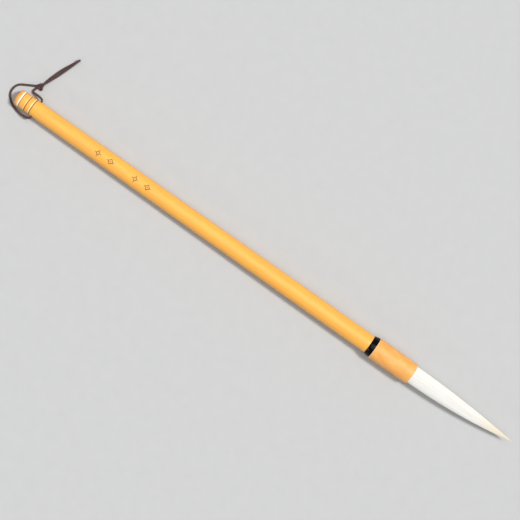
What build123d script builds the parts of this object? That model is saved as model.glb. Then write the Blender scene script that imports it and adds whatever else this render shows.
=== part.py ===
from build123d import *

import math
import os

# Calligraphy brush lying on a table: bamboo cane, domed plug, collar, ferrule, hair tuft and hanging cord.
# Millimetres. +X runs along the brush from the domed cap to the hair's tip, +Z is up.
# The origin is under the middle of the brush, at the ferrule's lowest line.
# Turned parts are drawn as (station, radius), a station being the distance from the dome's apex.

# Driving dimensions
LENGTH = 300.0  # dome apex to hair tip
SEAM = 3.6  # dome plug to cane
GROOVES = (SEAM, 7.1, 10.1)  # turned lines round the cap end
CORD_HOLE = 12.0  # cross-hole for the hanging cord
PARALLEL = 165.0  # the cane is tapered up to here and parallel after it
CANE_END = 214.4
COLLAR_END = 217.5
MOUTH = 240.4  # open end of the ferrule

CAP_R = 4.30  # cane at the cap
GRIP_R = 4.80  # cane along its parallel length
COLLAR_STEP = 0.12  # how far the collar stands out from the cane
COLLAR_MID_R = 5.25
COLLAR_R = 5.45
FERRULE_R = 5.78  # at its back end
FERRULE_BREAK = 0.25  # broken edge at its back end
LIP_R = 5.60  # at its mouth
LIP_ROUND = 0.8
HAIR_R = 4.60  # hair bundle in the ferrule's mouth
HAIR_TIP_R = 0.12  # blunt end of a hair layer's point

DOME_H = 2.35  # crown and shoulder, before the plug's straight part
SHOULDER_R = 1.8
GROOVE_W = 0.80
GROOVE_D = 0.34
INK_D = 0.13  # how deep ink lies in a groove
BORE_R = 1.7  # the cane's natural bore
TENON_R = 2.4
TENON_L = 5.8
TENON_HOLE_L = 6.0
TENON_CHAMFER = 0.3
SPIGOT_R = 2.9
SPIGOT_START = 202.4
SPIGOT_HOLE_START = 200.4
SPIGOT_END = 223.5
SPIGOT_CHAMFER = 0.4
FERRULE_WEB = (224.0, 225.4)  # wall between the spigot's bore and the hair's socket
VENT_R = 1.0
SOCKET_R = 4.72
GLUE_END = 235.4
GLUE_FLOOR = 0.6
RESIN = (226.0, 227.6)  # sealed end of the hair bundle
BINDING_TURNS = 6
BINDING_PITCH = 0.66
BOUND_R = 4.18  # hair bundle under its binding
THREAD_SEAT = 0.08  # height of the valleys between the thread's turns
THREAD_ROUND = 0.3  # height of each turn above them
BINDING_FLARE = 0.8  # along the bundle, from its bound to its full size
CORE_R = 2.0
LINING_R = 3.3
CORE_TIP = 292.0
LINING_TIP = 278.0
TAPER_START = MOUTH + 10.0  # where the core and the lining start to taper
TAPER_BULGE = 0.72  # their radius halfway along the taper, as a share

BELLY_HINGE = MOUTH
TIP_HINGE = MOUTH + 20.0
BEND = 28.0  # degrees at each hinge, to either side
RELIEF = 1.0  # degrees beyond the bend
HINGE_GAP = 0.15

CORD_D = 1.2
CORD_HOLE_R = 0.70
KNOT_R = 1.6
KNOT_H = 2.6

ORNAMENTS = (50.0, 57.5, 72.3, 79.7)  # engraved figures along the top of the cane
ORNAMENT_SIZE = 4.0
RING_R = 1.0
DOT_R = 0.22
RAY = (1.58, 0.76)  # middle and length
LOZENGE_R = 1.56
BAR_LENGTH = 1.0
DOT_AT = 1.8
STROKE = 0.30
ENGRAVED_D = 0.24
INK_BELOW = 0.04

X0 = -LENGTH / 2
AXIS_Z = FERRULE_R
IN_PLACE = Pos(X0, 0, AXIS_Z)
SIDE = 12.0  # half size of the blocks that cut the hair


def cane_radius(station):
    """The cane's outer radius, tapered towards the cap."""
    share = min((station - SEAM) / (PARALLEL - SEAM), 1.0)
    return CAP_R + (GRIP_R - CAP_R) * share


def turned(profile):
    """Revolves a face drawn in (station, radius) about the brush's axis."""
    return revolve(profile, Axis.X, 360)


def outline(*points):
    """A face with straight sides through (station, radius) points."""
    return make_face(Polyline(*points, close=True))


def ring(start, end, outer, inner=0.0):
    """A turned ring or disc between two stations."""
    return turned(outline((start, inner), (end, inner), (end, outer), (start, outer)))


def groove_ring(station, depth):
    """A V-shaped ring whose bottom lies GROOVE_D under the surface."""
    bottom = cane_radius(station) - GROOVE_D
    half = GROOVE_W / 2 * depth / GROOVE_D
    return turned(
        outline((station, bottom), (station + half, bottom + depth), (station - half, bottom + depth))
    )


def groove_cutter(station):
    """The V tool, reaching past the surface."""
    return groove_ring(station, GROOVE_D * 1.5)


def cord_hole():
    """The drill that makes the cross-hole, along Y."""
    return Pos(CORD_HOLE, 0, 0) * Rot(X=90) * Cylinder(CORD_HOLE_R, 4 * CAP_R)


# Handle


def dome_plug():
    """Dome with a round crown and shoulder, chamfered at the seam, and a tenon for the cane's socket."""
    tenon_end = SEAM + TENON_L
    shoulder_y = CAP_R - SHOULDER_R
    crown_r = (DOME_H**2 + shoulder_y**2 - SHOULDER_R**2) / (2 * (DOME_H - SHOULDER_R))
    meet = math.degrees(math.atan2(shoulder_y, crown_r - DOME_H))
    crown = CenterArc((crown_r, 0), crown_r, 180 - meet, meet)
    shoulder = CenterArc((DOME_H, shoulder_y), SHOULDER_R, 90, 90 - meet)
    sides = Polyline(
        (0, 0),
        (tenon_end, 0),
        (tenon_end, TENON_R - TENON_CHAMFER),
        (tenon_end - TENON_CHAMFER, TENON_R),
        (SEAM, TENON_R),
        (SEAM, CAP_R - GROOVE_D),
        (SEAM - GROOVE_W / 2, CAP_R),
        (DOME_H, CAP_R),
    )
    return turned(make_face([crown, shoulder, sides]))


def engraving(depth_from, depth_to):
    """The ornaments' strokes, between two depths under the cane's surface."""
    figures = [ringed_dot(), barred_lozenge()] * 2
    strokes = Sketch() + [Pos(s, 0) * figure for s, figure in zip(ORNAMENTS, figures)]
    prism = Pos(0, 0, 1.0) * extrude(strokes, 2 * GRIP_R)
    start = ORNAMENTS[0] - ORNAMENT_SIZE
    end = ORNAMENTS[-1] + ORNAMENT_SIZE
    r0 = cane_radius(start)
    r1 = cane_radius(end)
    shell = turned(
        outline(
            (start, r0 - depth_to), (end, r1 - depth_to), (end, r1 - depth_from), (start, r0 - depth_from)
        )
    )
    return prism & shell


def ringed_dot():
    """A ring round a dot, with four rays."""
    ray_middle, ray_length = RAY
    ray = Pos(ray_middle, 0) * Rectangle(ray_length, STROKE)
    rays = [Rot(Z=90 * k) * ray for k in range(4)]
    return Circle(RING_R) - Circle(RING_R - STROKE) + Circle(DOT_R) + rays


def barred_lozenge():
    """An outlined lozenge with a bar in it and a dot at each end."""
    lozenge = RegularPolygon(LOZENGE_R, 4) - RegularPolygon(LOZENGE_R - 1.5 * STROKE, 4)
    dots = [Pos(x, 0) * Circle(DOT_R) for x in (-DOT_AT, DOT_AT)]
    return lozenge + Rectangle(BAR_LENGTH, STROKE) + dots


def bamboo_cane():
    """Hollow cane with a socket at each end, grooves, cross-hole and engraved ornaments."""
    shoulder = SEAM + GROOVE_W / 2
    outside = outline(
        (SEAM, 0),
        (CANE_END, 0),
        (CANE_END, GRIP_R),
        (PARALLEL, GRIP_R),
        (shoulder, cane_radius(shoulder)),
        (SEAM, CAP_R - GROOVE_D),
    )
    cane = turned(outside)
    cane -= ring(SEAM, CANE_END, BORE_R)
    cane -= ring(SEAM, SEAM + TENON_HOLE_L, TENON_R)
    cane -= ring(SPIGOT_HOLE_START, CANE_END, SPIGOT_R)
    for station in GROOVES[1:]:
        cane -= groove_cutter(station)
    cane -= cord_hole()
    return cane - engraving(-1.0, ENGRAVED_D)


def groove_ink():
    """Brown stain in the bottom of each turned line."""
    return Compound([groove_ring(station, INK_D).solid() for station in GROOVES])


def ornament_ink():
    """Dark ink that fills the engraved strokes, just under the surface."""
    return Compound(engraving(INK_BELOW, ENGRAVED_D).solids())


def horn_collar():
    """Black collar that swells from the cane's size towards the ferrule's."""
    start = (CANE_END, GRIP_R + COLLAR_STEP)
    end = (COLLAR_END, COLLAR_R)
    swell = ThreePointArc(start, ((CANE_END + COLLAR_END) / 2, COLLAR_MID_R), end)
    sides = Polyline(start, (CANE_END, SPIGOT_R), (COLLAR_END, SPIGOT_R), end)
    return turned(make_face([swell, sides]))


def spigot():
    """Turned dowel through the collar, in the cane at one end and the ferrule at the other."""
    dowel = ring(SPIGOT_START, SPIGOT_END, SPIGOT_R)
    ends = dowel.edges().filter_by(GeomType.CIRCLE)
    return chamfer(ends, SPIGOT_CHAMFER)


def ferrule():
    """Turned cup: a bore for the spigot, a vented web, a socket for the hair and a rounded lip."""
    web_start, web_end = FERRULE_WEB
    body = turned(
        outline(
            (COLLAR_END, SPIGOT_R),
            (COLLAR_END, FERRULE_R - FERRULE_BREAK),
            (COLLAR_END + FERRULE_BREAK, FERRULE_R),
            (MOUTH, LIP_R),
            (MOUTH, SOCKET_R),
            (web_end, SOCKET_R),
            (web_end, VENT_R),
            (web_start, VENT_R),
            (web_start, SPIGOT_R),
        )
    )
    rim = body.edges().filter_by(GeomType.CIRCLE).group_by(Axis.X)[-1]
    outer_rim = rim.sort_by(lambda edge: edge.radius)[-1]
    return fillet(outer_rim, LIP_ROUND)


# Hair tuft


def socket_glue():
    """Glue film between the hair's root and the ferrule's socket, and its floor."""
    start = FERRULE_WEB[1]
    floor = ring(start, start + GLUE_FLOOR, SOCKET_R, VENT_R)
    wall = ring(start + GLUE_FLOOR, GLUE_END, SOCKET_R, HAIR_R)
    return floor + wall


def root_resin():
    """Resin button that seals the hair's root."""
    return ring(RESIN[0], RESIN[1], BOUND_R)


def root_binding():
    """Turns of thread wound side by side round the root."""
    valley = BOUND_R + THREAD_SEAT
    start = RESIN[1]
    end = start + BINDING_TURNS * BINDING_PITCH
    arcs = [
        ThreePointArc(
            (start + k * BINDING_PITCH, valley),
            (start + (k + 0.5) * BINDING_PITCH, valley + THREAD_ROUND),
            (start + (k + 1) * BINDING_PITCH, valley),
        )
        for k in range(BINDING_TURNS)
    ]
    sides = Polyline((start, valley), (start, BOUND_R), (end, BOUND_R), (end, valley))
    return turned(make_face([*arcs, sides]))


def tuft():
    """The whole tuft's outer form: bound root, then a long ogive to a point."""
    bound_end = RESIN[1] + BINDING_TURNS * BINDING_PITCH
    length = LENGTH - MOUTH
    fall = HAIR_R - HAIR_TIP_R
    ogive_r = (fall**2 + length**2) / (2 * fall)
    mid_r = HAIR_R - ogive_r + math.sqrt(ogive_r**2 - (length / 2) ** 2)
    ogive = ThreePointArc((MOUTH, HAIR_R), (MOUTH + length / 2, mid_r), (LENGTH, HAIR_TIP_R))
    sides = Polyline(
        (LENGTH, HAIR_TIP_R),
        (LENGTH, 0),
        (RESIN[1], 0),
        (RESIN[1], BOUND_R),
        (bound_end, BOUND_R),
        (bound_end + BINDING_FLARE, HAIR_R),
        (MOUTH, HAIR_R),
    )
    return turned(make_face([ogive, sides]))


def bullet(radius, tip):
    """An inner hair layer: straight, then tapered to its tip."""
    start = (TAPER_START, radius)
    middle = ((TAPER_START + tip) / 2, radius * TAPER_BULGE)
    taper = ThreePointArc(start, middle, (tip, HAIR_TIP_R))
    sides = Polyline((tip, HAIR_TIP_R), (tip, 0), (RESIN[1], 0), (RESIN[1], radius), start)
    return turned(make_face([taper, sides]))


def zone(start, start_angle, end, end_angle):
    """A block between two V-shaped ends that leave room for the bend at each hinge."""
    start_x = start + HINGE_GAP
    end_x = end - HINGE_GAP
    lean_start = SIDE * math.tan(math.radians(start_angle))
    lean_end = SIDE * math.tan(math.radians(end_angle))
    face = make_face(
        Polyline(
            (start_x, 0),
            (start_x + lean_start, SIDE),
            (end_x - lean_end, SIDE),
            (end_x, 0),
            (end_x - lean_end, -SIDE),
            (start_x + lean_start, -SIDE),
            close=True,
        )
    )
    return Pos(0, 0, -SIDE) * extrude(face, 2 * SIDE)


def hair_segments():
    """Every hair layer, cut into root, belly and tip."""
    whole = tuft()
    core = bullet(CORE_R, CORE_TIP)
    lining = bullet(LINING_R, LINING_TIP)
    layers = {"core": core, "lining": lining - core, "cover": whole - lining - core}
    zones = {
        "root": zone(RESIN[0], 0, BELLY_HINGE, 0),
        "belly": zone(BELLY_HINGE, BEND + RELIEF, TIP_HINGE, BEND / 2 + RELIEF),
        "tip": zone(TIP_HINGE, BEND / 2 + RELIEF, LENGTH + SIDE, 0),
    }
    return {
        f"{layer}_hair_{part}": solid & block
        for layer, solid in layers.items()
        for part, block in zones.items()
    }


# Hanging cord, in (x, y) from the cross-hole and z above the origin. It lies on the table, which is
# TABLE under the cap end, because the ferrule is the thicker.

TABLE = FERRULE_R - CAP_R
LIES = TABLE + CORD_D / 2

KNOT = (-5.3, 10.3, TABLE + KNOT_H / 2)

# From the knot to the hole, straight through it, round the dome and back to the knot
BAIL_ROUTE = (
    (-6.0, 9.4, LIES + 0.05),
    (-7.1, 7.9, LIES + 0.1),
    (-6.3, 6.0, LIES + 0.7),
    (-3.2, 6.4, LIES + 2.2),
    (0.0, 6.1, AXIS_Z),
    (0.0, -6.0, AXIS_Z),
    (-4.0, -7.5, LIES + 1.6),
    (-8.4, -6.4, LIES + 0.2),
    (-13.2, -4.4, LIES),
    (-16.6, -0.2, LIES + 0.05),
    (-15.6, 4.9, LIES),
    (-10.8, 8.3, LIES + 0.4),
    (-6.6, 9.8, LIES + 1.35),
)

# From the knot along the lower strand, folded at the tip, and back on the upper strand
LOOP_ROUTE = (
    (-4.63, 12.02, LIES),
    (-3.85, 15.85, LIES + 0.05),
    (-2.75, 19.95, LIES),
    (-1.05, 24.1, LIES + 0.05),
    (1.1, 27.8, LIES),
    (3.9, 32.0, LIES + 0.1),
    (4.0, 32.2, LIES + 2.4),
    (1.75, 27.7, LIES + 1.75),
    (0.5, 23.9, LIES + 0.7),
    (-0.85, 19.5, LIES + 0.25),
    (-2.45, 15.7, LIES + 0.6),
    (-4.6, 12.05, LIES + 1.38),
)


def at_hole(route):
    """A route's points in the row's frame."""
    return [Vector(X0 + CORD_HOLE + x, y, z) for x, y, z in route]


def corner_radii(points):
    """The largest arc that the two runs at each corner allow."""
    radii = []
    for before, here, after in zip(points, points[1:], points[2:]):
        turn = (here - before).get_angle(after - here)
        run = min((here - before).length, (after - here).length)
        radii.append(0.45 * run / math.tan(math.radians(turn / 2)))
    return radii


def cord_tube(name, route):
    """A round cord along straight runs joined by tangent arcs."""
    points = at_hole(route)
    radii = corner_radii(points)
    path = FilletPolyline(*points, radius=radii)
    tube = sweep(Plane(origin=path @ 0, z_dir=path % 0) * Circle(CORD_D / 2), path=path)
    full = math.pi * CORD_D**2 / 4 * path.length
    print(name, "radii", [round(r, 1) for r in radii])
    print(name, "length", round(path.length, 1), "volume", round(tube.volume, 2), "of", round(full, 2))
    return tube


def cord_knot():
    """The overhand knot's outer form: a round bun, a little lower than it is wide."""
    middle = at_hole([KNOT])[0]
    return Pos(middle) * scale(Sphere(KNOT_R), (1, 1, KNOT_H / 2 / KNOT_R))


parts = {
    "dome_plug": dome_plug(),
    "bamboo_cane": bamboo_cane(),
    "groove_ink": groove_ink(),
    "ornament_ink": ornament_ink(),
    "horn_collar": horn_collar(),
    "spigot": spigot(),
    "ferrule": ferrule(),
    "socket_glue": socket_glue(),
    "root_resin": root_resin(),
    "root_binding": root_binding(),
    **hair_segments(),
}
nodes = {name: IN_PLACE * shape for name, shape in parts.items()}
knot = cord_knot()
nodes["cord_knot"] = knot
nodes["cord_bail"] = cord_tube("cord_bail", BAIL_ROUTE) - knot
nodes["cord_loop"] = cord_tube("cord_loop", LOOP_ROUTE)

os.makedirs("parts", exist_ok=True)
for name, shape in nodes.items():
    export_step(shape, f"parts/{name}.step")
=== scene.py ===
import math
import random

import bmesh
import bpy
from mathutils import Matrix, Vector, noise


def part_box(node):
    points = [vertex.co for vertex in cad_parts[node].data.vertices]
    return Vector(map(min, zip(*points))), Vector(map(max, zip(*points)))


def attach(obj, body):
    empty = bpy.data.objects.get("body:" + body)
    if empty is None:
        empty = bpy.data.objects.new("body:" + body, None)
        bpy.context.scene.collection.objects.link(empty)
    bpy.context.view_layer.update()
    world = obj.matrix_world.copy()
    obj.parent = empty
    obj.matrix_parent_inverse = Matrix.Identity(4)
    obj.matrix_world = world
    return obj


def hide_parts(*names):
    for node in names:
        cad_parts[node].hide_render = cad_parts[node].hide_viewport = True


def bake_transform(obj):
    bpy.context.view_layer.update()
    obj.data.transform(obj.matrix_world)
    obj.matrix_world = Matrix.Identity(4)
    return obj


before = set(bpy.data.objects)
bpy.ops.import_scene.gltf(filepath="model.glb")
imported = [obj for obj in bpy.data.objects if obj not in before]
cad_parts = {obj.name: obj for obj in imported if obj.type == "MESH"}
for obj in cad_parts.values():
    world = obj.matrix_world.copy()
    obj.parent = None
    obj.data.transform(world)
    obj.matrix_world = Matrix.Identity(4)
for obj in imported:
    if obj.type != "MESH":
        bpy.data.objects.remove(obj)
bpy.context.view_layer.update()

# Sizes are in millimetres and become metres at the mesh. A station is the distance from the dome's apex.
MM = 0.001


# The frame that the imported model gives


def stations_of(node):
    """A CAD node's first and last station, and its largest radius."""
    low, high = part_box(node)
    return (low.x - START) / MM, (high.x - START) / MM, (high.z - low.z) / 2 / MM


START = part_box("dome_plug")[0].x
FERRULE_LOW, FERRULE_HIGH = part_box("ferrule")
AXIS_Z = (FERRULE_LOW.z + FERRULE_HIGH.z) / 2
SEAM, CANE_END, GRIP_R = stations_of("bamboo_cane")
COLLAR_START, COLLAR_END, COLLAR_R = stations_of("horn_collar")
FERRULE_START, MOUTH, FERRULE_R = stations_of("ferrule")
HAIR_END = stations_of("cover_hair_tip")[1]
CAP_R = (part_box("dome_plug")[1].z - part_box("dome_plug")[0].z) / 2 / MM

# Turned parts
PARALLEL = 165.0
GROOVES = (7.1, 10.1)
GROOVE_W = 0.9
GROOVE_D = 0.34
SEAM_CHAMFER = (0.55, 0.16)  # along and into the dome plug
DOME_H = 2.35  # crown and shoulder
SHOULDER_R = 1.8
BORE_R = 1.7
TENON_R = 2.4
TENON_L = 5.8
TENON_HOLE_L = 6.0
SPIGOT_R = 2.9
SPIGOT_HOLE_START = 200.4
SOCKET_R = 4.72
WEB = (224.0, 225.4)
VENT_R = 1.0
LIP_R = 5.60
LIP_ROUND = (1.35, 0.84)  # along and into the ferrule
CORD_HOLE = 12.0
CORD_HOLE_R = 0.70
HOLE_EDGE = 0.16  # how much wider its mouths are
SEGMENTS = 144

# Bands of colour round the turned parts: first and last station, and strength
# Painted shade: a dark brown band on the cane's wall of the seam groove, the wall that faces away from the
# light
PAINTED_SEAM_SHADE = (3.6, 3.92, 0.6)
# Painted highlights: pale bands on the lips of the two turned grooves, on the walls that face the light
PAINTED_LIP_HIGHLIGHTS = ((6.46, 6.70, 0.5), (9.40, 9.76, 0.8))
# Painted highlights: pale bands on the dome plug's seam chamfer and on the ferrule's back rim, where the
# light catches them
PAINTED_RIM_HIGHLIGHTS = ((2.80, 3.5, 0.9), (217.4, 217.78, 0.55))

# Engraved ornaments
ORNAMENTS = (50.0, 57.5, 72.3, 79.7)
RING_R = 1.0
DOT_R = 0.22
RAY = (1.58, 0.76)
LOZENGE_R = 1.56
BAR_LENGTH = 1.0
DOT_AT = 1.8
STROKE = 0.30
ENGRAVED_D = 0.24
CUTTER_OVER = 0.3  # how far the cutter stands above the cane

# Hair
HAIR_R = 4.6
LINING_R = 3.3
CORE_R = 2.0
HAIR_L = HAIR_END - MOUTH
LINING_END = 37.0  # from the mouth
CORE_END = 51.0
TUCK = 0.9  # how far the bending hair reaches into the ferrule
TIP_HINGE = 20.0  # from the mouth
PIECES_MEET = 9.0  # from the mouth, where the two hinges' bends meet
BEND_BEFORE = 4.5  # how far inside the mouth the first bend starts
HAIR_POWER = 2.05  # how late the tuft narrows
HAIR_LEAN = 1.3  # sideways, at the tip
CREAM_FROM = 0.58  # of the hair's length
STRANDS = 2900
CLUMPS = 46

# Hanging cord
CORD_R = 0.6
CORD_PITCH = 2.6
TABLE = AXIS_Z / MM - CAP_R  # the table's height under the cap
LIES = TABLE + CORD_R
KNOT = (-5.3, 10.3, TABLE + 1.3)
KNOT_SIZE = 0.53  # a third of the trefoil's reach
KNOT_HEIGHT = 0.62  # how far its strands rise and dip
KNOT_GAP = 0.12  # left open at each end, in radians
KNOT_TURN = 52.0  # degrees
KNOT_CORD_R = 0.54

# From the knot to the hole, straight through it, round the dome and back to the knot. x and y are measured
# from the hole, and z is the height in the row frame.
LEGS_ROUTE = (
    (-6.1, 9.3, LIES + 0.5),
    (-6.9, 7.9, LIES + 0.1),
    (-7.3, 6.2, LIES + 0.2),
    (-5.2, 6.0, LIES + 1.2),
    (-2.9, 6.1, LIES + 2.5),
    (0.0, 5.6, AXIS_Z / MM),
    (0.0, 3.0, AXIS_Z / MM),
    (0.0, -3.0, AXIS_Z / MM),
    (0.0, -5.7, AXIS_Z / MM),
    (-3.6, -6.5, LIES + 1.6),
    (-8.4, -6.2, LIES + 0.2),
    (-13.2, -4.4, LIES),
    (-16.6, -0.2, LIES + 0.05),
    (-15.6, 4.9, LIES),
    (-10.7, 7.6, LIES + 0.2),
    (-6.9, 9.75, LIES + 0.8),
)

# From the knot along the lower strand, folded at the tip, and back on the upper strand
LOOP_ROUTE = (
    (-4.95, 11.25, LIES + 0.25),
    (-3.95, 15.85, LIES + 0.05),
    (-2.65, 19.95, LIES),
    (-1.05, 24.1, LIES + 0.05),
    (0.95, 28.0, LIES),
    (3.2, 32.2, LIES + 0.1),
    (3.35, 32.35, LIES + 2.4),
    (1.75, 27.7, LIES + 1.2),
    (0.25, 23.8, LIES + 0.5),
    (-1.3, 19.6, LIES + 0.3),
    (-3.0, 15.7, LIES + 0.85),
    (-4.9, 11.25, LIES + 1.1),
)

# The picture
CAMERA_TURN = 35.2  # degrees, from the brush's length to the picture's right
CAMERA_HEIGHT = 0.88
CAMERA_AT = (-0.0041, 0.0029)
LENS = 122.65
KEY_HEIGHT = 58.0  # degrees above the table


def cane_radius(station):
    """The cane's radius, tapered towards the cap."""
    share = min(max((station - SEAM) / (PARALLEL - SEAM), 0.0), 1.0)
    return CAP_R + (GRIP_R - CAP_R) * share


def tuft_radius(reach):
    """The tuft's radius at a distance from the mouth."""
    share = min(max(reach / HAIR_L, 0.0), 1.0)
    return HAIR_R * (1 - share**HAIR_POWER)


def place(station, radius, angle):
    """A point on a turned part, in the row frame. Angle 0 is the top."""
    return Vector(
        (
            START + station * MM,
            radius * math.sin(angle) * MM,
            AXIS_Z + radius * math.cos(angle) * MM,
        )
    )


# Mesh tools


def new_piece(name, points, faces):
    """A mesh object with outward normals and smooth shading."""
    mesh = bpy.data.meshes.new(name)
    mesh.from_pydata(points, [], faces)
    piece = bpy.data.objects.new(name, mesh)
    bpy.context.scene.collection.objects.link(piece)
    tidy(mesh)
    return piece


def tidy(mesh, sharp=40):
    """Faces the normals outwards and shades smoothly, up to the sharp angle."""
    work = bmesh.new()
    work.from_mesh(mesh)
    bmesh.ops.recalc_face_normals(work, faces=work.faces)
    work.to_mesh(mesh)
    work.free()
    mesh.shade_smooth()
    mesh.set_sharp_from_angle(angle=math.radians(sharp))


def lathe(name, outline, segments=SEGMENTS, wobble=None):
    """A closed turned solid from (station, radius) points. An outline that starts and ends on the axis gets
    poles there, and any other one is a ring whose last point joins its first."""
    poled = outline[0][1] == 0 and outline[-1][1] == 0
    rings = outline[1:-1] if poled else outline
    points, faces = [], []
    for station, radius in rings:
        for k in range(segments):
            angle = 2 * math.pi * k / segments
            extra = wobble(station, radius, angle) if wobble else 0.0
            points.append(place(station, radius + extra, angle))
    spans = len(rings) - 1 if poled else len(rings)
    for i in range(spans):
        here, after = i * segments, (i + 1) % len(rings) * segments
        for k in range(segments):
            after_k = (k + 1) % segments
            faces.append((here + k, here + after_k, after + after_k, after + k))
    if poled:
        for end, ring in ((outline[0], 0), (outline[-1], (len(rings) - 1) * segments)):
            pole = len(points)
            points.append(place(end[0], 0, 0))
            faces += [(pole, ring + k, ring + (k + 1) % segments) for k in range(segments)]
    return new_piece(name, points, faces)


def arc(middle, radius, start, end, steps):
    """Points of an arc in (station, radius), with its angles in degrees."""
    angles = [math.radians(start + (end - start) * i / steps) for i in range(steps + 1)]
    return [(middle[0] + radius * math.cos(a), middle[1] + radius * math.sin(a)) for a in angles]


def frames_along(line):
    """Points of a line with two directions across it, carried along without twist."""
    tangents = []
    for i in range(len(line)):
        tangents.append((line[min(i + 1, len(line) - 1)] - line[max(i - 1, 0)]).normalized())
    across = tangents[0].orthogonal().normalized()
    framed = []
    for point, tangent in zip(line, tangents):
        across = (across - tangent * across.dot(tangent)).normalized()
        framed.append((point, across, tangent.cross(across)))
    return framed


def tube(line, radii, sides, points, faces):
    """Adds a closed tube round a line of points to points and faces."""
    first = len(points)
    for (middle, across, beside), radius in zip(frames_along(line), radii):
        for k in range(sides):
            angle = 2 * math.pi * k / sides
            points.append(middle + radius * (math.cos(angle) * across + math.sin(angle) * beside))
    for i in range(len(line) - 1):
        here, after = first + i * sides, first + (i + 1) * sides
        for k in range(sides):
            after_k = (k + 1) % sides
            faces.append((here + k, here + after_k, after + after_k, after + k))
    faces.append(tuple(first + k for k in range(sides)))
    last = first + (len(line) - 1) * sides
    faces.append(tuple(last + k for k in range(sides)))


def evenly(line, step):
    """The same line with points a step apart."""
    lengths = [0.0]
    for a, b in zip(line, line[1:]):
        lengths.append(lengths[-1] + (b - a).length)
    count = max(2, round(lengths[-1] / step) + 1)
    result, i = [], 0
    for k in range(count):
        want = lengths[-1] * k / (count - 1)
        while i < len(line) - 2 and lengths[i + 1] < want:
            i += 1
        share = (want - lengths[i]) / max(lengths[i + 1] - lengths[i], 1e-12)
        result.append(line[i].lerp(line[i + 1], min(share, 1.0)))
    return result


def carve(piece, *cutters):
    """Cuts closed pieces out of a piece and removes them."""
    for cutter in cutters:
        cut = piece.modifiers.new("cut", "BOOLEAN")
        cut.operation = "DIFFERENCE"
        cut.solver = "EXACT"
        cut.object = cutter
    seen = piece.evaluated_get(bpy.context.evaluated_depsgraph_get())
    mesh = bpy.data.meshes.new_from_object(seen)
    piece.modifiers.clear()
    plain, piece.data = piece.data, mesh
    bpy.data.meshes.remove(plain)
    for cutter in cutters:
        bpy.data.meshes.remove(cutter.data)
    tidy(mesh, 30)


def keep_rest(piece):
    """Stores where each point is at rest, for the grain of a piece that bends."""
    rest = piece.data.attributes.new("rest", "FLOAT_VECTOR", "POINT")
    for value, vertex in zip(rest.data, piece.data.vertices):
        value.vector = vertex.co


def dress(piece, material, body=None):
    """Gives a piece its material and slot, and the body that it rides on."""
    piece.data.materials.clear()
    piece.data.materials.append(material)
    if body:
        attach(piece, body)
    return piece


# Camera


def make_camera():
    """Straight down on the brush, turned as the brush lies across the picture."""
    data = bpy.data.cameras.new("camera")
    data.sensor_width = 36.0
    data.lens = LENS
    camera = bpy.data.objects.new("camera", data)
    camera.location = (*CAMERA_AT, AXIS_Z + CAMERA_HEIGHT)
    camera.rotation_euler = (0, 0, math.radians(CAMERA_TURN))
    bpy.context.scene.collection.objects.link(camera)
    bpy.context.scene.camera = camera


# Materials


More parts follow.
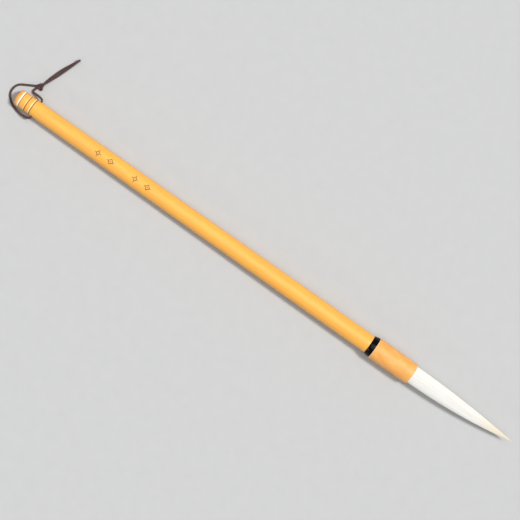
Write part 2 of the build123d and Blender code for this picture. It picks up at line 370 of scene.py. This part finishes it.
class Paint:
    """One procedural material and the nodes that make it."""

    def __init__(self, name, sockets, coordinates="Object"):
        self.material = bpy.data.materials.new(name)
        self.material.use_nodes = True
        tree = self.material.node_tree
        self.nodes, self.links = tree.nodes, tree.links
        self.shader = self.nodes["Principled BSDF"]
        for socket, value in sockets.items():
            self.shader.inputs[socket].default_value = value
        if coordinates == "rest":
            self.coordinates = self.add("ShaderNodeAttribute", attribute_name="rest").outputs["Vector"]
        else:
            self.coordinates = self.add("ShaderNodeTexCoord").outputs[coordinates]

    def add(self, kind, inputs=None, **settings):
        """A node, with its inputs set or linked."""
        node = self.nodes.new(kind)
        for setting, value in settings.items():
            setattr(node, setting, value)
        for socket, value in (inputs or {}).items():
            if isinstance(value, bpy.types.NodeSocket):
                self.links.new(value, node.inputs[socket])
            else:
                node.inputs[socket].default_value = value
        return node

    def noise(self, size, detail=2.0, rough=0.5):
        """Noise whose grains have that size along x, y and z in millimetres."""
        scale = tuple(1 / (s * MM) for s in size)
        mapped = self.add("ShaderNodeMapping", {"Vector": self.coordinates, "Scale": scale})
        settings = {"Vector": mapped.outputs[0], "Scale": 1.0, "Detail": detail, "Roughness": rough}
        return self.add("ShaderNodeTexNoise", settings).outputs["Fac"]

    def ramp(self, factor, *stops):
        """Colours or greys at places along a factor."""
        node = self.add("ShaderNodeValToRGB", {"Fac": factor})
        elements = node.color_ramp.elements
        while len(elements) < len(stops):
            elements.new(0.5)
        for element, (position, value) in zip(elements, stops):
            element.position = position
            element.color = (*value, 1) if isinstance(value, tuple) else (value, value, value, 1)
        return node.outputs["Color"]

    def mix(self, factor, a, b, blend="MIX"):
        """Two colours mixed."""
        node = self.add("ShaderNodeMix", data_type="RGBA", blend_type=blend)
        for socket, value in ((0, factor), (6, a), (7, b)):
            if isinstance(value, bpy.types.NodeSocket):
                self.links.new(value, node.inputs[socket])
            elif isinstance(value, tuple):
                node.inputs[socket].default_value = (*value, 1)
            else:
                node.inputs[socket].default_value = value
        return node.outputs[2]

    def bands(self, *spans):
        """A strength between each pair of stations and 0 elsewhere, with uneven edges."""
        soft, sway = 0.07 * MM, 0.15 * MM
        along = self.add("ShaderNodeSeparateXYZ", {"Vector": self.coordinates}).outputs["X"]
        stray = self.noise((4, 0.7, 0.7), 2, 0.5)
        stray = self.add("ShaderNodeMath", {0: stray, 1: 2 * sway, 2: -sway}, operation="MULTIPLY_ADD")
        along = self.add("ShaderNodeMath", {0: along, 1: stray.outputs[0]}, operation="ADD").outputs[0]
        mask = None
        for start, end, strength in spans:
            middle, half = START + (start + end) / 2 * MM, (end - start) / 2 * MM
            off = self.add("ShaderNodeMath", {0: along, 1: middle}, operation="SUBTRACT").outputs[0]
            off = self.add("ShaderNodeMath", {0: off}, operation="ABSOLUTE").outputs[0]
            edges = {"Value": off, "From Min": half + soft, "From Max": half - soft, "To Max": strength}
            band = self.add("ShaderNodeMapRange", edges).outputs["Result"]
            if mask:
                band = self.add("ShaderNodeMath", {0: mask, 1: band}, operation="MAXIMUM").outputs[0]
            mask = band
        return mask

    def bump(self, height, distance, normal=None):
        """Relief of that depth in millimetres."""
        inputs = {"Height": height, "Distance": distance * MM, "Strength": 1.0}
        if normal:
            inputs["Normal"] = normal
        return self.add("ShaderNodeBump", inputs).outputs["Normal"]

    def set(self, socket, output):
        """Links an output to the shader."""
        self.links.new(output, self.shader.inputs[socket])


def lacquered_bamboo():
    """Golden bamboo with long fine fibres, soft blotches and short dark flecks under clear lacquer. It has
    painted highlights on the turned lines' lips, and painted shade on the cane's wall of the seam groove."""
    paint = Paint(
        "lacquered_bamboo",
        {"Coat Weight": 0.25, "Coat Roughness": 0.30, "Coat IOR": 1.5, "Specular IOR Level": 0.35},
    )
    fibres = paint.noise((26, 0.22, 0.22), 5, 0.6)
    blotches = paint.noise((13, 3.0, 3.0), 3, 0.55)
    flecks = paint.noise((3.4, 0.16, 0.16), 2, 0.5)
    golds = (0.28, (0.88, 0.37, 0.045)), (0.5, (0.95, 0.455, 0.068)), (0.75, (0.97, 0.52, 0.095))
    wood = paint.ramp(fibres, *golds)
    warm = paint.ramp(blotches, (0.38, 0.0), (0.70, 0.7))
    wood = paint.mix(warm, wood, (0.90, 0.40, 0.072))
    dark = paint.ramp(flecks, (0.70, 0.0), (0.80, 0.45))
    wood = paint.mix(dark, wood, (0.55, 0.20, 0.03))
    # Painted shade: dark brown on the cane's wall of the seam groove
    wood = paint.mix(paint.bands(PAINTED_SEAM_SHADE), wood, (0.40, 0.17, 0.05))
    # Painted highlights: pale on the turned grooves' lips
    wood = paint.mix(paint.bands(*PAINTED_LIP_HIGHLIGHTS), wood, (0.94, 0.84, 0.58))
    paint.set("Base Color", wood)
    paint.set("Roughness", paint.ramp(fibres, (0.3, 0.50), (0.7, 0.38)))
    paint.set("Normal", paint.bump(fibres, 0.012))
    return paint.material


def turned_bamboo():
    """Peach coloured turned bamboo: cloudy mottling, pores, faint tool rings, painted highlights on the seam
    chamfer and the back rim, satin.
    """
    paint = Paint("turned_bamboo", {"Coat Weight": 0.20, "Coat Roughness": 0.35, "Specular IOR Level": 0.45})
    clouds = paint.noise((5.5, 2.6, 2.6), 4, 0.6)
    pores = paint.noise((1.6, 0.20, 0.20), 3, 0.6)
    rings = paint.noise((0.10, 40, 40), 1, 0.4)
    peaches = (0.30, (0.80, 0.345, 0.068)), (0.52, (0.88, 0.41, 0.098)), (0.74, (0.92, 0.47, 0.14))
    wood = paint.ramp(clouds, *peaches)
    dark = paint.ramp(pores, (0.60, 0.0), (0.78, 0.40))
    wood = paint.mix(dark, wood, (0.58, 0.23, 0.04))
    # Painted highlights: pale on the seam chamfer and the ferrule's back rim
    wood = paint.mix(paint.bands(*PAINTED_RIM_HIGHLIGHTS), wood, (0.93, 0.87, 0.69))
    paint.set("Base Color", wood)
    paint.set("Roughness", paint.ramp(clouds, (0.3, 0.44), (0.7, 0.56)))
    paint.set("Normal", paint.bump(rings, 0.010, paint.bump(pores, 0.012)))
    return paint.material


def black_horn():
    """Polished black horn with faint brown layers along it."""
    paint = Paint("black_horn", {"Coat Weight": 0.28, "Coat Roughness": 0.05, "Specular IOR Level": 0.02})
    layers = paint.noise((3.0, 0.35, 0.35), 3, 0.5)
    blacks = (0.35, (0.0010, 0.0008, 0.0008)), (0.75, (0.004, 0.003, 0.0025))
    paint.set("Base Color", paint.ramp(layers, *blacks))
    paint.set("Roughness", paint.ramp(layers, (0.3, 0.22), (0.8, 0.32)))
    paint.set("Normal", paint.bump(layers, 0.004))
    return paint.material


def grainy(name, dark, light, size, rough, relief, sockets=None):
    """A plain finish with two close colours and a grain of that size."""
    paint = Paint(name, sockets or {})
    grain = paint.noise(size, 4, 0.6)
    paint.set("Base Color", paint.ramp(grain, (0.3, dark), (0.7, light)))
    paint.set("Roughness", paint.ramp(grain, (0.3, rough - 0.06), (0.7, rough + 0.06)))
    paint.set("Normal", paint.bump(grain, relief))
    return paint.material


def goat_hair(name, coordinates, strands):
    """White goat hair, creamier towards the tip, with fine streaks or a tone for each strand. The streaks'
    darker parts are painted shade between the hairs.
    """
    paint = Paint(
        name,
        {
            "Specular IOR Level": 0.35,
            "Subsurface Weight": 0.15,
            "Subsurface Radius": (1.0, 0.8, 0.6),
            "Subsurface Scale": 0.8 * MM,
            "Sheen Weight": 0.25,
            "Sheen Roughness": 0.4,
        },
        coordinates,
    )
    streaks = paint.noise((40, 0.10, 0.10), 3, 0.6)
    white, cream = (0.87, 0.85, 0.79), (0.88, 0.77, 0.55)
    if strands:
        tone = paint.add("ShaderNodeAttribute", attribute_name="tone").outputs["Fac"]
        whites = (0.0, (0.78, 0.75, 0.69)), (0.35, (0.88, 0.86, 0.80)), (1.0, (0.93, 0.915, 0.87))
        hair = paint.ramp(tone, *whites)
    else:
        # Fine streaks of the hair's own tone, whose darkest parts are painted shade in the gaps between
        # hairs
        hair = paint.ramp(streaks, (0.35, (0.66, 0.62, 0.55)), (0.6, white))
    place_x = paint.add("ShaderNodeSeparateXYZ", {"Vector": paint.coordinates}).outputs["X"]
    low, high = START + (MOUTH + CREAM_FROM * HAIR_L) * MM, START + HAIR_END * MM
    along = paint.add(
        "ShaderNodeMapRange",
        {"Value": place_x, "From Min": low, "From Max": high, "To Min": 0.0, "To Max": 0.95},
        interpolation_type="SMOOTHSTEP",
    ).outputs["Result"]
    paint.set("Base Color", paint.mix(along, hair, cream))
    paint.set("Roughness", paint.ramp(streaks, (0.3, 0.62), (0.7, 0.5)))
    if not strands:
        paint.set("Normal", paint.bump(streaks, 0.05))
    return paint.material


def waxed_cord():
    """Dark brown twisted silk cord with fine fibres and a waxy sheen."""
    paint = Paint(
        "waxed_cord",
        {
            "Specular IOR Level": 0.5,
            "Sheen Weight": 0.5,
            "Sheen Roughness": 0.35,
            "Sheen Tint": (0.75, 0.55, 0.52, 1),
        },
    )
    fibres = paint.noise((0.35, 0.10, 0.35), 4, 0.65)
    fade = paint.noise((4.0, 4.0, 4.0), 2, 0.5)
    browns = (0.30, (0.035, 0.014, 0.012)), (0.55, (0.075, 0.034, 0.030)), (0.8, (0.14, 0.075, 0.066))
    faded = paint.ramp(fade, (0.4, 0.0), (0.8, 0.5))
    paint.set("Base Color", paint.mix(faded, paint.ramp(fibres, *browns), (0.11, 0.05, 0.045)))
    paint.set("Roughness", paint.ramp(fibres, (0.3, 0.60), (0.7, 0.45)))
    paint.set("Normal", paint.bump(fibres, 0.03))
    return paint.material


def pale_floor():
    """A plain pale table top."""
    paint = Paint("pale_floor", {"Specular IOR Level": 0.2})
    grain = paint.noise((6, 6, 6), 3, 0.5)
    paint.set("Base Color", paint.ramp(grain, (0.3, (0.49, 0.49, 0.487)), (0.7, (0.505, 0.505, 0.50))))
    paint.set("Roughness", paint.ramp(grain, (0.3, 0.62), (0.7, 0.70)))
    return paint.material


# Hanging cord


def route_line(route):
    """The smooth line of a route: its NURBS spline's points, in metres."""
    data = bpy.data.curves.new("route", "CURVE")
    data.dimensions = "3D"
    spline = data.splines.new("NURBS")
    spline.points.add(len(route) - 1)
    for point, (x, y, z) in zip(spline.points, route):
        point.co = (START + (CORD_HOLE + x) * MM, y * MM, z * MM, 1)
    spline.order_u = 3
    spline.use_endpoint_u = True
    spline.resolution_u = 24
    holder = bpy.data.objects.new("route", data)
    mesh = bpy.data.meshes.new_from_object(holder)
    line = [vertex.co.copy() for vertex in mesh.vertices]
    bpy.data.meshes.remove(mesh)
    bpy.data.curves.remove(data)
    return line


def rope(name, line, radius, pitch, plies=3, sides=10):
    """A cord of twisted plies along a line. Sizes are in metres."""
    ply_r = radius * 0.51
    out = radius - ply_r
    fine = evenly(line, pitch / 16)
    framed = frames_along(fine)
    step = (fine[1] - fine[0]).length
    points, faces = [], []
    for ply in range(plies):
        helix = []
        for i, (middle, across, beside) in enumerate(framed):
            turn = 2 * math.pi * (i * step / pitch + ply / plies)
            helix.append(middle + out * (math.cos(turn) * across + math.sin(turn) * beside))
        tube(helix, [ply_r] * len(helix), sides, points, faces)
    return new_piece(name, points, faces)


def knot_line():
    """A loose overhand knot, as an open trefoil with one lobe towards the loop."""
    middle = Vector((START + (CORD_HOLE + KNOT[0]) * MM, KNOT[1] * MM, KNOT[2] * MM))
    size, height = KNOT_SIZE * MM, KNOT_HEIGHT * MM
    turned = Matrix.Rotation(math.radians(KNOT_TURN), 3, "Z")
    line = []
    steps = 120
    for i in range(steps + 1):
        t = KNOT_GAP + (2 * math.pi - 2 * KNOT_GAP) * i / steps
        x = math.sin(t) + 2 * math.sin(2 * t)
        y = math.cos(t) - 2 * math.cos(2 * t)
        line.append(middle + turned @ Vector((x * size, y * size, -math.sin(3 * t) * height)))
    return line


def make_cord(material):
    """The cord's legs through the cane, its knot and its hanging loop."""
    legs_line = route_line(LEGS_ROUTE)
    loop_line = route_line(LOOP_ROUTE)
    legs = rope("cord_legs_twisted", legs_line, CORD_R * MM, CORD_PITCH * MM)
    loop = rope("cord_loop_twisted", loop_line, CORD_R * MM, CORD_PITCH * MM)
    knot = rope("cord_knot_tied", knot_line(), KNOT_CORD_R * MM, CORD_PITCH * MM)
    for piece, body, node in (
        (legs, "cord_legs", "cord_bail"),
        (knot, "cord_legs", "cord_knot"),
        (loop, "hanging_loop", "cord_loop"),
    ):
        dress(piece, material, body)
        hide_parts(node)


# Handle


def groove_points(station):
    """A turned groove with soft lips, as (station, radius) points across it."""
    steps = 14
    points = []
    for i in range(steps + 1):
        off = (i / steps - 0.5) * GROOVE_W
        depth = GROOVE_D * (0.5 + 0.5 * math.cos(2 * math.pi * off / GROOVE_W))
        points.append((station + off, cane_radius(station + off) - depth))
    return points


def natural(station, radius, angle):
    """The slight unevenness of a cane that grew, only on its outside."""
    if radius < CAP_R - 2 * GROOVE_D:
        return 0.0
    at = Vector((station / 30, math.sin(angle) * 0.9, math.cos(angle) * 0.9))
    return 0.018 * noise.noise(at)


def ring_stroke(radius, width, sides=40):
    """A closed stroke as pairs of points, outside and inside."""
    pairs = []
    for k in range(sides + 1):
        angle = 2 * math.pi * k / sides
        way = (math.cos(angle), math.sin(angle))
        pairs.append(tuple((way[0] * r, way[1] * r) for r in (radius, radius - width)))
    return pairs


def bar_stroke(start, end, width, steps=4):
    """A straight stroke from start to end as pairs of points."""
    a, b = Vector(start), Vector(end)
    side = (b - a).normalized().orthogonal() * width / 2
    pairs = []
    for i in range(steps + 1):
        middle = a.lerp(b, i / steps)
        pairs.append((tuple(middle + side), tuple(middle - side)))
    return pairs


def figures():
    """The ornaments as strokes round their own middles: a rayed ring and a barred lozenge, each twice."""
    dot = ring_stroke(DOT_R, DOT_R - 0.01, 16)
    rays = []
    for k in range(4):
        way = Vector((math.cos(k * math.pi / 2), math.sin(k * math.pi / 2)))
        rays.append(bar_stroke(way * (RAY[0] - RAY[1] / 2), way * (RAY[0] + RAY[1] / 2), STROKE))
    rayed = [ring_stroke(RING_R, STROKE), dot, *rays]
    lozenge = []
    for k in range(5):
        way = (math.cos(k * math.pi / 2), math.sin(k * math.pi / 2))
        lozenge.append(tuple((way[0] * r, way[1] * r) for r in (LOZENGE_R, LOZENGE_R - 1.5 * STROKE)))
    fine_lozenge = []
    side_steps = 6
    for here, after in zip(lozenge, lozenge[1:]):
        for i in range(side_steps):
            share = i / side_steps
            fine_lozenge.append(tuple(tuple(Vector(a).lerp(Vector(b), share)) for a, b in zip(here, after)))
    fine_lozenge.append(lozenge[-1])
    dots = [[tuple((x + at, y) for x, y in pair) for pair in dot] for at in (-DOT_AT, DOT_AT)]
    barred = [fine_lozenge, bar_stroke((-BAR_LENGTH / 2, 0), (BAR_LENGTH / 2, 0), STROKE), *dots]
    return [rayed, barred] * 2


def engraving_cutter():
    """The ornaments as blocks that follow the cane's round top, from above it to the engraving's floor."""
    points, faces = [], []
    for middle, strokes in zip(ORNAMENTS, figures()):
        for pairs in strokes:
            first = len(points)
            for pair in pairs:
                for x, y in pair:
                    for depth in (ENGRAVED_D, -CUTTER_OVER):
                        radius = cane_radius(middle) - depth
                        points.append(place(middle + x, radius, math.asin(y / radius)))
            closed = (Vector(pairs[0][0]) - Vector(pairs[-1][0])).length < 1e-6
            spans = len(pairs) - 1
            for i in range(spans):
                a = first + 4 * i
                b = first + 4 * ((i + 1) % spans if closed else i + 1)
                for corners in ((0, 2), (2, 3), (3, 1), (1, 0)):
                    faces.append((a + corners[0], b + corners[0], b + corners[1], a + corners[1]))
            if not closed:
                last = first + 4 * spans
                faces.append((first, first + 1, first + 3, first + 2))
                faces.append((last, last + 1, last + 3, last + 2))
    return new_piece("engraving_cutter", points, faces)


def hole_cutter():
    """The drill of the cord's hole, with a slightly broken edge at both mouths."""
    surface = cane_radius(CORD_HOLE)
    outside, inside, clear = surface + 0.1, surface - 0.25, 6
    places = (-clear, -outside, -inside, inside, outside, clear)
    line = [Vector((START + CORD_HOLE * MM, y * MM, AXIS_Z)) for y in places]
    edge = CORD_HOLE_R + HOLE_EDGE
    radii = [r * MM for r in (edge, edge, CORD_HOLE_R, CORD_HOLE_R, edge, edge)]
    points, faces = [], []
    tube(line, radii, 32, points, faces)
    return new_piece("hole_cutter", points, faces)


def make_cane(material):
    """The cane: turned lines, natural unevenness, cord hole and engraving."""
    outline = [(SEAM, CAP_R - GROOVE_D), (SEAM + 0.12, CAP_R - 0.22), (SEAM + 0.26, CAP_R - 0.09)]
    outline += [(SEAM + 0.38, CAP_R - 0.025), (SEAM + 0.52, CAP_R)]
    for station in GROOVES:
        outline += groove_points(station)
    step = 1.5
    station = GROOVES[-1] + GROOVE_W
    while station < CANE_END - step:
        outline.append((station, cane_radius(station)))
        station += step
    outline += arc((CANE_END - 0.12, GRIP_R - 0.12), 0.12, 90, 0, 4)
    outline += [(CANE_END, SPIGOT_R), (SPIGOT_HOLE_START, SPIGOT_R), (SPIGOT_HOLE_START, BORE_R)]
    outline += [(SEAM + TENON_HOLE_L, BORE_R), (SEAM + TENON_HOLE_L, TENON_R), (SEAM, TENON_R)]
    cane = lathe("cane_engraved", outline, wobble=natural)
    carve(cane, hole_cutter(), engraving_cutter())
    dress(cane, material, "handle")
    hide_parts("bamboo_cane")


def make_plug(material):
    """The domed plug: round crown and shoulder, a chamfer at the seam that carries a painted highlight, and
    its tenon.
    """
    shoulder_y = CAP_R - SHOULDER_R
    crown_r = (DOME_H**2 + shoulder_y**2 - SHOULDER_R**2) / (2 * (DOME_H - SHOULDER_R))
    meet = math.degrees(math.atan2(shoulder_y, crown_r - DOME_H))
    outline = arc((crown_r, 0), crown_r, 180, 180 - meet, 16)
    outline[0] = (0.0, 0.0)
    outline += arc((DOME_H, shoulder_y), SHOULDER_R, 180 - meet, 90, 20)[1:]
    along, into = SEAM_CHAMFER
    outline += [(SEAM - along, CAP_R - 0.01), (SEAM - 0.75 * along, CAP_R - 0.28 * into)]
    outline += [(SEAM - 0.12, CAP_R - into), (SEAM - 0.05, CAP_R - into - 0.05), (SEAM, CAP_R - GROOVE_D)]
    end = SEAM + TENON_L
    outline += [(SEAM, TENON_R), (end - 0.3, TENON_R), (end, TENON_R - 0.3), (end, 0.0)]
    plug = lathe("dome_plug_turned", outline)
    dress(plug, material, "handle")
    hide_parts("dome_plug")


def make_collar(material):
    """The black collar: swelling towards the ferrule, with rounded edges."""
    start_r = GRIP_R + 0.12
    outline = [(COLLAR_START, SPIGOT_R), (COLLAR_START, start_r - 0.15)]
    outline.append((COLLAR_START + 0.04, start_r - 0.05))
    steps = 16
    for i in range(steps + 1):
        share = i / steps
        swell = math.sin(share * math.pi / 2) ** 0.9
        station = COLLAR_START + 0.15 + (COLLAR_END - COLLAR_START - 0.35) * share
        outline.append((station, start_r + (COLLAR_R - start_r) * swell))
    outline += [(COLLAR_END - 0.08, COLLAR_R - 0.06), (COLLAR_END, COLLAR_R - 0.2), (COLLAR_END, SPIGOT_R)]
    collar = lathe("collar_polished", outline)
    dress(collar, material, "handle")
    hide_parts("horn_collar")


def make_ferrule(material):
    """The turned cup that holds the hair: broken back edge, rounded lip, socket and web."""
    back = 0.28
    outline = [(FERRULE_START, SPIGOT_R), (FERRULE_START, FERRULE_R - back - 0.02)]
    outline += arc((FERRULE_START + back, FERRULE_R - back), back, 180, 90, 6)
    steps = 12
    for i in range(1, steps):
        share = i / steps
        station = FERRULE_START + back + (MOUTH - LIP_ROUND[0] - FERRULE_START - back) * share
        belly = 0.03 * math.sin(math.pi * share)
        outline.append((station, FERRULE_R + (LIP_R - FERRULE_R) * share + belly))
    for along, out in arc((0, 0), 1.0, 90, 6, 14):
        outline.append((MOUTH - LIP_ROUND[0] * (1 - along), LIP_R - LIP_ROUND[1] * (1 - out)))
    outline += [(MOUTH, SOCKET_R + 0.05), (MOUTH - 0.05, SOCKET_R), (WEB[1], SOCKET_R), (WEB[1], VENT_R)]
    outline += [(WEB[0], VENT_R), (WEB[0], SPIGOT_R)]
    ferrule = lathe("ferrule_turned", outline, wobble=lambda s, r, a: 0.5 * natural(s, r, a))
    dress(ferrule, material, "handle")
    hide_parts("ferrule")


# Hair tuft


def lean(reach):
    """How far the tuft's middle stands to the side at a distance from the mouth."""
    return HAIR_LEAN * max(reach / HAIR_L, 0.0) ** 2


def hair_place(reach, radius, angle):
    """A point of the tuft, which leans a little to its side."""
    point = place(MOUTH + reach, radius, angle)
    point.y += lean(reach) * MM
    return point


def clump_angle(angle, seed_turn):
    """The middle of the clump that an angle lies in."""
    width = 2 * math.pi / CLUMPS
    index = round((angle - seed_turn) / width)
    drift = 0.3 * width * math.sin(index * 12.9898)
    return seed_turn + index * width + drift


def layer_shell(name, outer, inner, start, end, end_inner, segments=96, rings=24):
    """A hair layer between two surfaces from start to end. outer and inner give a radius at a distance from
    the mouth, and a layer whose inner is None is solid."""
    points, faces = [], []
    walls = [(outer, start, end)] + ([(inner, start, end_inner)] if inner else [])
    for radius_at, first, last in walls:
        for i in range(rings + 1):
            reach = first + (last - first) * i / rings
            for k in range(segments):
                angle = 2 * math.pi * k / segments
                points.append(hair_place(reach, radius_at(reach, angle), angle))
    wall = (rings + 1) * segments
    for base in range(0, len(points), wall):
        for i in range(rings):
            for k in range(segments):
                after_k = (k + 1) % segments
                here, after = base + i * segments, base + (i + 1) * segments
                faces.append((here + k, here + after_k, after + after_k, after + k))
    if inner:
        for ring in (0, rings * segments):
            for k in range(segments):
                after_k = (k + 1) % segments
                faces.append((ring + k, ring + after_k, wall + ring + after_k, wall + ring + k))
    else:
        faces.append(tuple(range(segments)))
        faces.append(tuple(rings * segments + k for k in range(segments)))
    return new_piece(name, points, faces)


def cover_surface(reach, angle):
    """The hair's outer surface: gathered in clumps that deepen towards the tip."""
    share = min(max(reach / HAIR_L, 0.0), 1.0)
    clump = math.cos((angle + 0.25 * math.sin(3 * angle)) * CLUMPS / 2)
    depth = 0.012 + 0.05 * share
    return max(tuft_radius(max(reach, 0.0)) * (0.955 - depth * (0.5 + 0.5 * clump)), 0.04)


def inner_surface(radius, end):
    """The surface of an inner layer that tapers to its own end."""

    def surface(reach, angle):
        share = min(max((reach - 8) / (end - 8), 0.0), 1.0)
        own = radius * (1 - share**1.8)
        return max(min(own, 0.86 * tuft_radius(max(reach, 0.0))), 0.03)

    return surface


def strand_line(rng, turn):
    """One cover hair: its end, its radii and where it runs, as a function of the distance from the mouth."""
    angle = rng.uniform(0, 2 * math.pi)
    depth = rng.uniform(0.0, 1.0) ** 1.5
    level = 1.0 - 0.06 * depth
    end = HAIR_L * (1 - 0.42 * rng.random() ** 2.6)
    wave, phase = rng.uniform(0.0, 0.02), rng.uniform(0, 2 * math.pi)
    pull = rng.uniform(0.15, 0.75)
    middle = clump_angle(angle, turn)
    thick = rng.uniform(0.045, 0.075)

    def at(reach):
        share = max(reach / HAIR_L, 0.0)
        gathered = angle + (middle - angle) * pull * share**1.3
        wavy = gathered + wave * math.sin(reach / 9 + phase)
        lift = 1 + 0.012 * math.sin(reach / 6 + 2 * phase) * share
        return hair_place(reach, max(tuft_radius(reach) * level * lift, 0.02), wavy)

    def radius(reach):
        return thick * (1 - 0.75 * (reach / end) ** 2) * MM

    return end, at, radius


def strands(name, first, last, rings):
    """All cover hairs between two distances from the mouth, each a thin closed tube with its own tone."""
    rng = random.Random(7)
    turn = 0.4
    points, faces, tones = [], [], []
    for _ in range(STRANDS):
        end, at, radius = strand_line(rng, turn)
        tone = rng.random()
        stop = min(end, last)
        if stop - first < 2:
            continue
        reaches = [first + (stop - first) * i / rings for i in range(rings + 1)]
        tube([at(r) for r in reaches], [radius(r) for r in reaches], 3, points, faces)
        tones += [tone] * (3 * (rings + 1))
    piece = new_piece(name, points, faces)
    tone_of = piece.data.attributes.new("tone", "FLOAT", "POINT")
    tone_of.data.foreach_set("value", tones)
    return piece


def make_tuft(coat, strand_coat):
    """Cover, lining and core hair in two lengths, and the loose strands on top. The lengths meet between the
    two hinges."""
    start = -TUCK
    meet = PIECES_MEET
    core = inner_surface(CORE_R, CORE_END)
    lining = inner_surface(LINING_R, LINING_END)
    core_stop, lining_stop, cover_stop = CORE_END - 1, LINING_END - 1, HAIR_L - 0.4

    def core_hole(reach, angle):
        return core(reach, angle) * 1.02

    def lining_hole(reach, angle):
        return max(lining(reach, angle), core(reach, angle)) * 1.02

    lower = [
        (layer_shell("hair_cover_belly", cover_surface, lining_hole, start, meet, meet), "cover_hair_belly"),
        (layer_shell("hair_lining_belly", lining, core_hole, start, meet, meet), "lining_hair_belly"),
        (layer_shell("hair_core_belly", core, None, start, meet, meet), "core_hair_belly"),
        (strands("hair_strands_belly", start, meet, 5), "cover_hair_belly"),
    ]
    upper = [
        (
            layer_shell("hair_cover_tip", cover_surface, lining_hole, meet, cover_stop, core_stop),
            "cover_hair_tip",
        ),
        (
            layer_shell("hair_lining_tip", lining, core_hole, meet, lining_stop, lining_stop),
            "lining_hair_tip",
        ),
        (layer_shell("hair_core_tip", core, None, meet, core_stop, core_stop), "core_hair_tip"),
        (strands("hair_strands_tip", meet, HAIR_L, 10), "cover_hair_tip"),
    ]
    still = place(MOUTH - BEND_BEFORE, 0, 0)
    between = place(MOUTH + meet, 0, 0)
    settled = place(MOUTH + 2 * TIP_HINGE - meet, 0, 0)
    for pieces, bodies, first, last in (
        (lower, ("handle", "tuft_belly"), still, between),
        (upper, ("tuft_belly", "tuft_tip"), between, settled),
    ):
        for piece, node in pieces:
            keep_rest(piece)
            loose = "strands" in piece.name
            dress(piece, strand_coat if loose else coat)
            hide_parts(node)
            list(bodies)
            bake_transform(piece)
            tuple(first)
            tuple(last)


# Parts that keep their CAD shape


def paint_cad(finishes):
    """Gives carried-over CAD nodes their finishes."""
    for node, material in finishes.items():
        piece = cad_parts[node]
        piece.data.materials.clear()
        piece.data.materials.append(material)


def make_carried_over():
    """Stain, ink, spigot, glue, resin, binding and the hair's root, which are right as they are."""
    root_hair = goat_hair("goat_hair_root", "Object", False)
    paint_cad(
        {
            "groove_ink": grainy(
                "brown_stain", (0.13, 0.052, 0.034), (0.23, 0.10, 0.065), (0.3, 0.3, 0.3), 0.6, 0.01
            ),
            "ornament_ink": grainy(
                "engraving_ink", (0.012, 0.007, 0.014), (0.035, 0.018, 0.028), (0.15, 0.15, 0.15), 0.62, 0.01
            ),
            "spigot": grainy("dowel_wood", (0.42, 0.25, 0.11), (0.60, 0.40, 0.20), (9, 0.3, 0.3), 0.6, 0.02),
            "socket_glue": grainy(
                "hide_glue", (0.30, 0.14, 0.03), (0.45, 0.24, 0.07), (0.8, 0.8, 0.8), 0.28, 0.01,
                {"Transmission Weight": 0.3, "Coat Weight": 0.3},
            ),
            "root_resin": grainy(
                "root_resin", (0.10, 0.04, 0.012), (0.20, 0.09, 0.03), (0.7, 0.7, 0.7), 0.35, 0.03
            ),
            "root_binding": grainy(
                "binding_thread", (0.58, 0.52, 0.38), (0.75, 0.69, 0.54), (0.12, 0.5, 0.5), 0.8, 0.04,
                {"Sheen Weight": 0.4},
            ),
            "cover_hair_root": root_hair,
            "lining_hair_root": root_hair,
            "core_hair_root": root_hair,
        }
    )


# Table and light


def make_table(material):
    """The table top, which the cap and the ferrule both touch."""
    cap_touch = START + SEAM * MM
    ferrule_touch = START + (FERRULE_START + 0.5) * MM
    slope = -TABLE * MM / (ferrule_touch - cap_touch)
    reach = 4.0
    points = []
    for x, y in ((-reach, -reach), (reach, -reach), (reach, reach), (-reach, reach)):
        points.append((x, y, TABLE * MM + slope * (x - cap_touch)))
    mesh = bpy.data.meshes.new("table_top")
    mesh.from_pydata(points, [], [(0, 1, 2, 3)])
    table = bpy.data.objects.new("table_top", mesh)
    bpy.context.scene.collection.objects.link(table)
    table.data.materials.append(material)


def make_light(name, kind, energy, azimuth, height, **settings):
    """A light that shines on the brush from that azimuth and height in degrees."""
    data = bpy.data.lights.new(name, kind)
    data.energy = energy
    distance = settings.pop("distance", 1.0)
    for setting, value in settings.items():
        setattr(data, setting, value)
    light = bpy.data.objects.new(name, data)
    a, h = math.radians(azimuth), math.radians(height)
    way = Vector((math.cos(a) * math.cos(h), math.sin(a) * math.cos(h), math.sin(h)))
    light.location = way * distance
    light.rotation_mode = "QUATERNION"
    light.rotation_quaternion = way.to_track_quat("Z", "Y")
    bpy.context.scene.collection.objects.link(light)


def make_studio():
    """Soft key light from the picture's right, a broad softbox overhead, a small kicker, a pale surround."""
    scene = bpy.context.scene
    world = bpy.data.worlds.new("studio")
    world.use_nodes = True
    background = world.node_tree.nodes["Background"]
    background.inputs["Color"].default_value = (0.95, 0.97, 1.0, 1)
    background.inputs["Strength"].default_value = 0.33
    scene.world = world
    make_light("key", "SUN", 2.35, CAMERA_TURN, KEY_HEIGHT, angle=math.radians(9))
    make_light("softbox", "AREA", 7.6, 90, 86, distance=1.3, size=1.2)
    make_light("kicker", "AREA", 0.5, 248, 24, distance=1.0, size=0.1)
    scene.view_settings.view_transform = "Standard"
    scene.view_settings.look = "None"


make_camera()
make_cord(waxed_cord())
make_cane(lacquered_bamboo())
satin = turned_bamboo()
make_plug(satin)
make_collar(black_horn())
make_ferrule(satin)
make_tuft(goat_hair("goat_hair", "rest", False), goat_hair("goat_hair_strands", "rest", True))
make_carried_over()
make_table(pale_floor())
make_studio()
